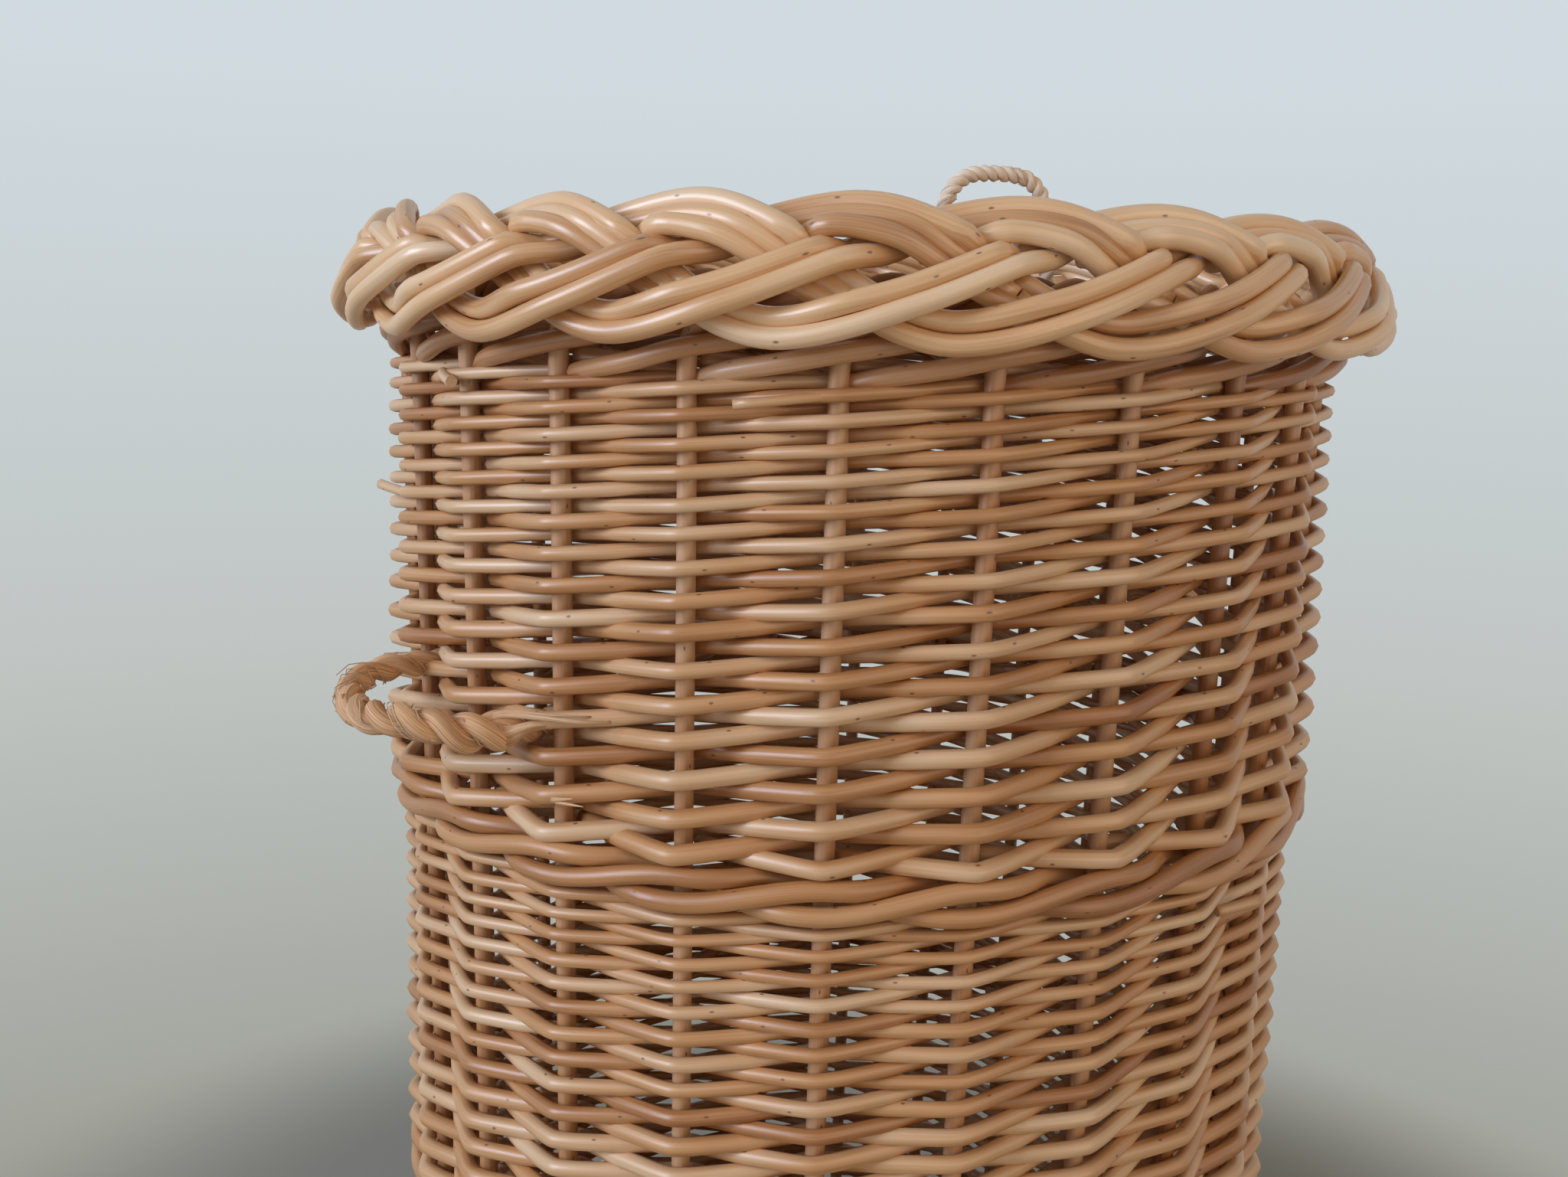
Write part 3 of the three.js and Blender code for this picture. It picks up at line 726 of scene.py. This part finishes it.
def plaitStrand(number):
    generator = random.Random(plait["firstSeed"] + number)
    rods = []
    step = 1 / plait["stepsPerStake"]
    around = basket["stakeCount"]
    spans = [(place, plait["seamAt"], plait["seamAt"] + around) for place in (1, 0)]
    spans += [(-1, start + plait["thirdFrom"], start + plait["thirdTo"])
              for start in range(0, around, plait["strands"])]
    for place, begin, finish in spans:
        units = np.arange(begin, finish + step, step)
        up, out = plaitPath(units, place, generator.randrange(10000))
        radius = plait["rodRadius"] * generator.uniform(*plait["stoutness"])
        rods.append(rodData(plaitPoint(units + number, up, out), radius, generator))
    return rods


for number in range(plait["strands"]):
    name = f"plait_strand_{number + 1}"
    rods = plaitStrand(number)
    piece = sweptPiece(name + "_rods", rods, plait["sides"], plaitPaintedLightRod, "basket")
    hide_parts(name)
print("plait made")


# Base and lid: spokes fanned out from a crossed middle, with thin weavers round them
disc = {
    # edge, betweenPast and sticksPast say how far the rounds, the spokes between the sticks and the
    # sticks reach past the solid's edge
    "base": {"node": "base_weave", "eye": 30 * mm, "spacing": 11 * mm, "spoke": 3 * mm,
             "weaver": 2.3 * mm, "edge": 0, "betweenPast": -2 * mm, "sticksPast": -2 * mm,
             "seed": 70},
    "lid": {"node": "lid_weave", "eye": 26 * mm, "spacing": 9 * mm, "spoke": 2 * mm,
            "weaver": 1.7 * mm, "edge": 3 * mm, "betweenPast": 5.5 * mm, "sticksPast": 5 * mm,
            "seed": 80},
    "sticksEachWay": 3,
    "stickSides": 10,
    "stepsPerPoint": 8,
    "crossingGap": 0.15 * mm,
    # the sticks fan out straight from this share of their reach, and lie at this share of the
    # crossing's step
    "straightFrom": 0.6,
    "stepLeft": 0.2,
    "stoutness": (0.94, 1.05),
    "roundPitch": 1.9,
    "uneven": 0.25 * mm,
    "kink": 0.8,
    "sides": 6,
    # from this share of the radius on, more and thinner spokes lie between the sticks
    "closeFrom": 0.42,
    "betweenSpokes": 12,
    "betweenThickness": 0.9,
    # spokes to a round. The sway is in weaver radii round the cross, and smaller further out.
    "crossSpokes": 4,
    "crossSway": 1.1,
    "innerSpokes": 12,
    "outerSpokes": 24,
    "outerSway": 0.75,
    "stepsPerSpoke": 8,
    "leastSteps": 60,
}


def discWeave(kind, body, turn):
    values = disc[kind]
    low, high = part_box(values["node"])
    middle = float(low[2] + high[2]) / 2
    outside = float(high[0])
    closeFrom = disc["closeFrom"] * outside
    weaver = values["weaver"]
    sway = values["spoke"] + weaver
    generator = random.Random(values["seed"])
    rods = []
    # the first rounds bind the crossed sticks and clear the corners of the cross
    radius = math.sqrt(2) * (values["spacing"] + values["spoke"]) + weaver
    odd = 0
    while radius < outside - weaver + values["edge"]:
        if radius < values["eye"] + weaver:
            spokes, lift, phase = disc["crossSpokes"], disc["crossSway"] * weaver, 0
        elif radius < closeFrom:
            spokes, lift, phase = disc["innerSpokes"], sway, odd
        else:
            spokes, lift, phase = disc["outerSpokes"], disc["outerSway"] * sway, odd
        steps = max(disc["leastSteps"], spokes * disc["stepsPerSpoke"])
        angle = np.linspace(0, 2 * math.pi, steps + 1)
        wave = kinkedWave(angle * spokes / (2 * math.pi) + phase, disc["kink"])
        reach = radius + disc["uneven"] * wander(angle * 4, values["seed"] + len(rods), 2)
        stout = weaver * generator.uniform(*disc["stoutness"])
        rods.append(rodData(polar(angle + turn, reach, middle + lift * wave), stout, generator))
        radius += weaver * disc["roundPitch"]
        odd = 1 - odd
    thickness = values["spoke"] * disc["betweenThickness"]
    for between in range(disc["betweenSpokes"]):
        spoke = turn + (between + 0.5) * 2 * math.pi / disc["betweenSpokes"]
        reach = np.linspace(closeFrom, outside + values["betweenPast"], 12)
        rods.append(rodData(polar(spoke, reach, middle), thickness, generator))
    piece = sweptPiece(values["node"] + "_rods", rods, disc["sides"], weaverRod, body)
    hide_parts(values["node"])


def discSticks(kind, body, turn):
    values = disc[kind]
    low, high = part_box(values["node"])
    middle = float(low[2] + high[2]) / 2
    reach = float(high[0]) + values["sticksPast"]
    inner = disc["straightFrom"] * reach
    generator = random.Random(values["seed"] + 1)
    for layer, side in enumerate(("under", "over")):
        step = (values["spoke"] + disc["crossingGap"]) * (2 * layer - 1)
        for index in range(disc["sticksEachWay"]):
            place = index - 1
            fan = place * math.pi / (2 * disc["sticksEachWay"])
            cosine, sine = math.cos(fan), math.sin(fan)

            def point(x, y, height):
                azimuth = turn + layer * math.pi / 2 + math.atan2(y, x)
                return polar(azimuth, math.hypot(x, y), middle + height)

            # fanned out at both ends, and side by side across the eye
            ends = disc["stepLeft"] * step
            points = [point(-out * cosine, out * sine, ends) for out in (reach, inner)]
            for along in (-values["eye"], values["eye"]):
                points.append(point(along, place * values["spacing"], step))
            points += [point(out * cosine, out * sine, ends) for out in (inner, reach)]
            name = f"{kind}_{side}_stick_{index + 1}"
            rod = rodData(catmullRom(points, disc["stepsPerPoint"]), values["spoke"], generator)
            piece = sweptPiece(name + "_rod", [rod], disc["stickSides"], stakeRod, body)
            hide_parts(name)


loopAzimuth = math.radians(17)
baseTurn = stakeAzimuth(0.5)
lidTurn = loopAzimuth + math.pi / (4 * disc["sticksEachWay"])
discWeave("base", "basket", baseTurn)
discSticks("base", "basket", baseTurn)
discWeave("lid", "lid", lidTurn)
discSticks("lid", "lid", lidTurn)

# Lid rim: three rods wound round each other along the edge
rim = {
    "rods": 3,
    "rodRadius": 3.3 * mm,
    "turns": 24,
    "stepsPerTurn": 14,
    "sides": 10,
    "seed": 91,
}


def lidRim():
    low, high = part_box("lid_rim")
    middle = float(low[2] + high[2]) / 2
    tube = float(high[2] - low[2]) / 2
    centre = float(high[0]) - tube
    orbit = tube - rim["rodRadius"]
    angle = np.linspace(0, 2 * math.pi, rim["turns"] * rim["stepsPerTurn"] + 1)
    generator = random.Random(rim["seed"])
    rods = []
    for number in range(rim["rods"]):
        twist = angle * rim["turns"] + number * 2 * math.pi / rim["rods"]
        path = polar(angle, centre + orbit * np.cos(twist), middle + orbit * np.sin(twist))
        rods.append(rodData(path, rim["rodRadius"], generator))
    piece = sweptPiece("lid_rim_rods", rods, rim["sides"], rimPaintedShadeRod, "lid")
    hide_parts("lid_rim")


lidRim()
print("lid and base made")


# Ropes: strands laid round each other, with loose fibres
rope = {
    "handle": {
        "radius": 6.2 * mm,
        "lay": 25 * mm,
        "halfWidth": 37.9 * mm,
        "reach": 30 * mm,
        "hinge": 205.8 * mm,
        "height": 427.5 * mm,
        "rootEnd": 160 * mm,
        "rootRun": 14 * mm,
        "knot": 8.5 * mm,
        "knotRun": 8 * mm,
        # the rope's straight legs end this far short of its hinge
        "blend": 8 * mm,
        "bendPoints": 15,
        "fibres": 26,
        "fibreRadius": 0.22 * mm,
        # the loop hangs lower on the viewer's side, sags a little and is lifted near that side
        "tilt": 4.3 * mm,
        "sag": 2 * mm,
        "lifted": 4.5 * mm,
        "liftedAt": 2.25,
        "liftedRun": 0.5,
        # thicker where the end is worked in, and thinner in its first half
        "bind": 0.3,
        "thinner": 0.24,
        # loose ends along the wall: height and thickness in mm, and how far round they reach in
        # degrees
        "locks": ((1.5, 1.9, 20), (2.6, 1.3, 17.5), (-4.5, 3.6, 14.5), (-7.5, 3, 14)),
    },
    "loop": {
        "radius": 2.8 * mm,
        "lay": 7.5 * mm,
        "halfWidth": 20 * mm,
        "reach": 34.2 * mm,
        "radiusOnLid": 154.4 * mm,
        "hingeAboveLid": 3.4 * mm,
        "feetBelowLid": (7 * mm, 1 * mm),
        "knot": 5 * mm,
        "knotRun": 4 * mm,
        "blend": 2.5 * mm,
        "bendPoints": 13,
        "seed": 5,
        "fibres": 8,
        "fibreRadius": 0.14 * mm,
        "bind": 0,
        "thinner": 0,
        # 2 gives an ellipse, and more gives straighter sides and a broader top
        "square": 3.3,
    },
    "handles": {"left": {"azimuth": -46.5, "seed": 3}, "right": {"azimuth": 133.5, "seed": 4}},
    "lockSeed": 20,
    "lockSteps": 6,
    "strands": 2,
    "strandShare": 0.56,
    # strands are drawn this much thicker, and take up this share of the rope's swelling
    "strandThicker": 1.04,
    "strandSwell": 0.4,
    # places and runs along a rope, from 0 to 1, of its wound band and its thinner part
    "bindFrom": 0.66,
    "bindFromRun": 0.08,
    "bindTo": 0.86,
    "bindToRun": 0.06,
    "thinTo": 0.52,
    "thinRun": 0.2,
    # loose fibres: half their length and how far they stand out, in rope radii
    "fibreHalf": (1.2, 3.2),
    "fibreOut": 0.93,
    "fibreBent": (0.05, 0.3),
    "fibrePoints": 7,
    "stepsPerPoint": 8,
    "sides": 10,
}


def ropeStrands(path, values, generator, knotEnds):
    run = runAlong(path)
    normal, binormal = carriedFrames(path)

    def aside(twist, first, second):
        return np.cos(twist)[:, None] * first + np.sin(twist)[:, None] * second

    strandRadius = values["radius"] * rope["strandShare"]
    orbit = values["radius"] - strandRadius
    place = run / run[-1]
    bindStart = smoothStep((place - rope["bindFrom"]) / rope["bindFromRun"])
    bindEnd = smoothStep((rope["bindTo"] - place) / rope["bindToRun"])
    bound = values["bind"] * bindStart * bindEnd
    thinPart = values["thinner"] * smoothStep((rope["thinTo"] - place) / rope["thinRun"])
    swell = 1 + (values["knot"] / values["radius"] - 1) * knotEnds + bound - thinPart
    rods = []
    for number in range(rope["strands"]):
        twist = 2 * math.pi * (run / values["lay"] + number / rope["strands"])
        strand = path + aside(twist, normal, binormal) * (orbit * swell)[:, None]
        strandSwell = 1 - rope["strandSwell"] + rope["strandSwell"] * swell
        radius = strandRadius * strandSwell * rope["strandThicker"]
        rods.append(rodData(strand, radius, generator, reference=None))
    # loose fibres: short, thin and bent away from the rope
    count = rope["fibrePoints"]
    for _ in range(values["fibres"]):
        middle = generator.uniform(0.02, 0.98)
        half = generator.uniform(*rope["fibreHalf"]) * values["radius"] / run[-1]
        places = np.clip(np.linspace(middle - half, middle + half, count), 0, 1) * run[-1]
        point, side, other = (
            np.stack([np.interp(places, run, track[:, axis]) for axis in range(3)], axis=1)
            for track in (path, normal, binormal))
        twist = 2 * math.pi * (places / values["lay"]) + generator.uniform(0, 2 * math.pi)
        bent = generator.uniform(*rope["fibreBent"]) * np.linspace(0, 1, count) ** 2
        lift = values["radius"] * (rope["fibreOut"] + bent)
        fibre = point + aside(twist, side, other) * lift[:, None]
        rods.append(rodData(fibre, values["fibreRadius"], generator,
                            reference=None, tones=(0.5, 1)))
    return rods


def handleLocks(azimuth, generator):
    # the strands' loose ends lie along the wall and are tucked in behind the next rods
    values = rope["handle"]
    locks = []
    for lift, thick, reach in values["locks"]:
        turned = np.radians(np.array([7.5, 10, 12.2, reach, reach + 2.6]))
        out = np.array([210, 208.5, 206, 203, 196]) * mm
        up = lift * np.array([0.3, 0.8, 1, 0.7, 0.5]) + np.array([-4, -1.5, 1, 3, 3])
        points = polar(azimuth + turned, out, values["height"] + up * mm)
        path = catmullRom(points, rope["lockSteps"])
        taper = 1 - 0.7 * smoothStep(np.linspace(-0.1, 1.1, len(path)))
        locks.append({
            "path": path,
            "radius": thick * mm * taper,
            "reference": None,
            "tone": generator.uniform(0.1, 0.5),
            "grain": 7 + lift * mm,
        })
    return locks


def handleRope(side):
    values = rope["handle"]
    azimuth = math.radians(rope["handles"][side]["azimuth"])
    seed = rope["handles"][side]["seed"]
    half = values["halfWidth"]
    hinge = values["hinge"]

    def at(along, outward, up):
        tilted = values["height"] + up - values["tilt"] * along / half
        return polar(azimuth, outward, tilted) + polar(azimuth + math.pi / 2, along, 0)

    blend = values["blend"]
    legs = (values["rootEnd"], values["rootEnd"] + values["rootRun"], hinge - blend)
    points = [at(-half, outward, 0) for outward in legs]
    for bend in np.linspace(0, math.pi, values["bendPoints"]):
        fromPeak = (bend - values["liftedAt"]) / values["liftedRun"]
        lifted = values["lifted"] * math.exp(-fromPeak ** 2)
        points.append(at(-half * math.cos(bend), hinge + values["reach"] * math.sin(bend),
                         -values["sag"] * math.sin(bend) + lifted))
    points += [at(half, outward, 0) for outward in reversed(legs)]
    path = catmullRom(points, rope["stepsPerPoint"])
    outward = path[:, 0] * math.sin(azimuth) - path[:, 1] * math.cos(azimuth)
    pastKnot = outward - values["rootEnd"] - values["knotRun"]
    knotEnds = 1 - smoothStep(pastKnot / values["knotRun"])
    rods = ropeStrands(path, values, random.Random(seed), knotEnds)
    rods += handleLocks(azimuth, random.Random(seed + rope["lockSeed"]))
    piece = sweptPiece(f"handle_{side}_rope", rods, rope["sides"], strawRope, None)
    tuple(at(0, hinge - blend, 0))
    tuple(at(0, hinge + blend, 0))
    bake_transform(piece)
    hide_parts(f"handle_{side}", f"handle_{side}_root_a", f"handle_{side}_root_b")


def lidLoop():
    values = rope["loop"]
    half = values["halfWidth"]
    power = 2 / values["square"]
    low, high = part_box("lid_weave")
    lidBottom = float(low[2])
    hinge = float(high[2]) + values["hingeAboveLid"]
    blend = values["blend"]

    def at(along, height):
        foot = polar(loopAzimuth, values["radiusOnLid"], height)
        return foot + polar(loopAzimuth + math.pi / 2, along, 0)

    feet = [lidBottom - below for below in values["feetBelowLid"]]
    points = [at(-half, height) for height in feet]
    for bend in np.linspace(0, math.pi, values["bendPoints"]):
        along = -half * math.copysign(abs(math.cos(bend)) ** power, math.cos(bend))
        points.append(at(along, hinge + values["reach"] * math.sin(bend) ** power))
    points += [at(half, height) for height in reversed(feet)]
    path = catmullRom(points, rope["stepsPerPoint"])
    pastKnot = path[:, 2] - lidBottom + values["knotRun"]
    knotEnds = 1 - smoothStep(pastKnot / values["knotRun"])
    rods = ropeStrands(path, values, random.Random(values["seed"]), knotEnds)
    piece = sweptPiece("lid_loop_rope", rods, rope["sides"], paleCord, None)
    tuple(at(0, hinge - blend))
    tuple(at(0, hinge + blend))
    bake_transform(piece)
    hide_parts("lid_loop", "lid_loop_foot_left", "lid_loop_foot_right")


for side in rope["handles"]:
    handleRope(side)
lidLoop()
print("ropes made")


# Floor and background: pale, and one fades into the other before it reaches the frame's edge
stage = {
    "floor": "9a9b92",
    "background": "d0dae0",
    "backgroundMiddle": "c0c5c3",
    "backgroundLow": "9d9e95",
    # the background's grading, by how far up or down a direction points
    "gradeFrom": -0.5,
    "gradeTo": 0.14,
    "gradeMiddle": 0.45,
    "fadeStart": 0.4,
    "fadeEnd": 0.62,
    "size": 3.0,
    "roughness": 0.7,
}


def makeFloor():
    mesh = bpy.data.meshes.new("floor")
    reach = stage["size"]
    corners = [(-reach, -reach, 0), (reach, -reach, 0), (reach, reach, 0), (-reach, reach, 0)]
    mesh.from_pydata(corners, [], [(0, 1, 2, 3)])
    floor = bpy.data.objects.new("floor", mesh)
    bpy.context.collection.objects.link(floor)
    material, tree, shader = newMaterial("pale_floor")
    output = [node for node in tree.nodes if node.type == "OUTPUT_MATERIAL"][0]
    shader.inputs["Base Color"].default_value = srgb(stage["floor"])
    shader.inputs["Roughness"].default_value = stage["roughness"]
    place = addNode(tree, "ShaderNodeTexCoord")
    distance = addNode(tree, "ShaderNodeVectorMath", {0: place.outputs["Object"]},
                       operation="LENGTH")
    fade = addNode(tree, "ShaderNodeMapRange", {
        "Value": distance.outputs["Value"], "From Min": stage["fadeStart"],
        "From Max": stage["fadeEnd"]}, interpolation_type="SMOOTHSTEP")
    clear = addNode(tree, "ShaderNodeBsdfTransparent")
    mix = addNode(tree, "ShaderNodeMixShader", {
        0: fade.outputs["Result"], 1: shader.outputs["BSDF"], 2: clear.outputs["BSDF"]})
    tree.links.new(mix.outputs["Shader"], output.inputs["Surface"])
    mesh.materials.append(material)


# Light: a cool window on the viewer's left, a warm fill on the right and dim light all round
light = {
    "window": {"place": (-2.1, -1.2, 1.25), "size": 1.2, "power": 43.5, "colour": "dfe8ff"},
    "fill": {"place": (1.4, -1.6, 1.0), "size": 1.6, "power": 10.5, "colour": "ffdcb8"},
    "aim": (0, 0, 0.35),
    "skyColour": "f2ebe3",
    "skyStrength": 0.33,
}


def softLamp(name):
    values = light[name]
    data = bpy.data.lights.new(name, "AREA")
    data.shape = "RECTANGLE"
    data.size = values["size"]
    data.size_y = values["size"]
    data.energy = values["power"]
    data.color = srgb(values["colour"])[:3]
    lamp = bpy.data.objects.new(name, data)
    lamp.location = values["place"]
    towards = Vector(light["aim"]) - Vector(values["place"])
    lamp.rotation_euler = towards.to_track_quat("-Z", "Y").to_euler()
    bpy.context.collection.objects.link(lamp)


def makeWorld():
    world = bpy.data.worlds.new("studio")
    world.use_nodes = True
    bpy.context.scene.world = world
    tree = world.node_tree
    tree.nodes.clear()
    rays = addNode(tree, "ShaderNodeLightPath")
    sky = addNode(tree, "ShaderNodeBackground", {
        "Color": srgb(light["skyColour"]), "Strength": light["skyStrength"]})
    # the background is lighter higher up
    facing = addNode(tree, "ShaderNodeTexCoord")
    parts = addNode(tree, "ShaderNodeSeparateXYZ", {"Vector": facing.outputs["Generated"]})
    rise = addNode(tree, "ShaderNodeMapRange", {
        "Value": parts.outputs["Z"], "From Min": stage["gradeFrom"], "From Max": stage["gradeTo"]})
    shade = colourRamp(tree, rise.outputs["Result"], (0, stage["backgroundLow"]),
                       (stage["gradeMiddle"], stage["backgroundMiddle"]),
                       (1, stage["background"]))
    seen = addNode(tree, "ShaderNodeBackground", {"Color": shade, "Strength": 1})
    plain = addNode(tree, "ShaderNodeMath", {
        0: rays.outputs["Is Camera Ray"], 1: rays.outputs["Is Glossy Ray"]}, operation="MAXIMUM")
    through = addNode(tree, "ShaderNodeMath", {
        0: plain.outputs[0], 1: rays.outputs["Is Transmission Ray"]}, operation="MAXIMUM")
    mix = addNode(tree, "ShaderNodeMixShader", {
        0: through.outputs[0], 1: sky.outputs["Background"], 2: seen.outputs["Background"]})
    addNode(tree, "ShaderNodeOutputWorld", {"Surface": mix.outputs["Shader"]})


# Camera: fitted to the photograph's rim, handle and band
camera = {
    "place": (0, -0.6826, 0.5714),
    "pitchDown": math.radians(10.31),
    "roll": math.radians(1.54),
    "yaw": math.radians(-2.45),
    "focalPixels": 2000,
    "photoWidth": 2048,
    "sensor": 36,
    "near": 0.01,
    "far": 50,
}


def makeCamera():
    data = bpy.data.cameras.new("camera")
    data.sensor_width = camera["sensor"]
    data.lens = camera["sensor"] * camera["focalPixels"] / camera["photoWidth"]
    data.clip_start = camera["near"]
    data.clip_end = camera["far"]
    yaw, pitch, roll = camera["yaw"], camera["pitchDown"], camera["roll"]
    ahead = Vector((
        math.sin(yaw) * math.cos(pitch), math.cos(yaw) * math.cos(pitch), -math.sin(pitch)))
    right = Vector((math.cos(yaw), -math.sin(yaw), 0))
    up = right.cross(ahead)
    rolledRight = math.cos(roll) * right + math.sin(roll) * up
    rolledUp = -math.sin(roll) * right + math.cos(roll) * up
    turn = Matrix((rolledRight, rolledUp, -ahead)).transposed()
    eye = bpy.data.objects.new("camera", data)
    eye.matrix_world = Matrix.Translation(camera["place"]) @ turn.to_4x4()
    bpy.context.collection.objects.link(eye)
    bpy.context.scene.camera = eye


makeFloor()
softLamp("window")
softLamp("fill")
makeWorld()
makeCamera()
bpy.context.scene.view_settings.view_transform = "Standard"
print("stage made")
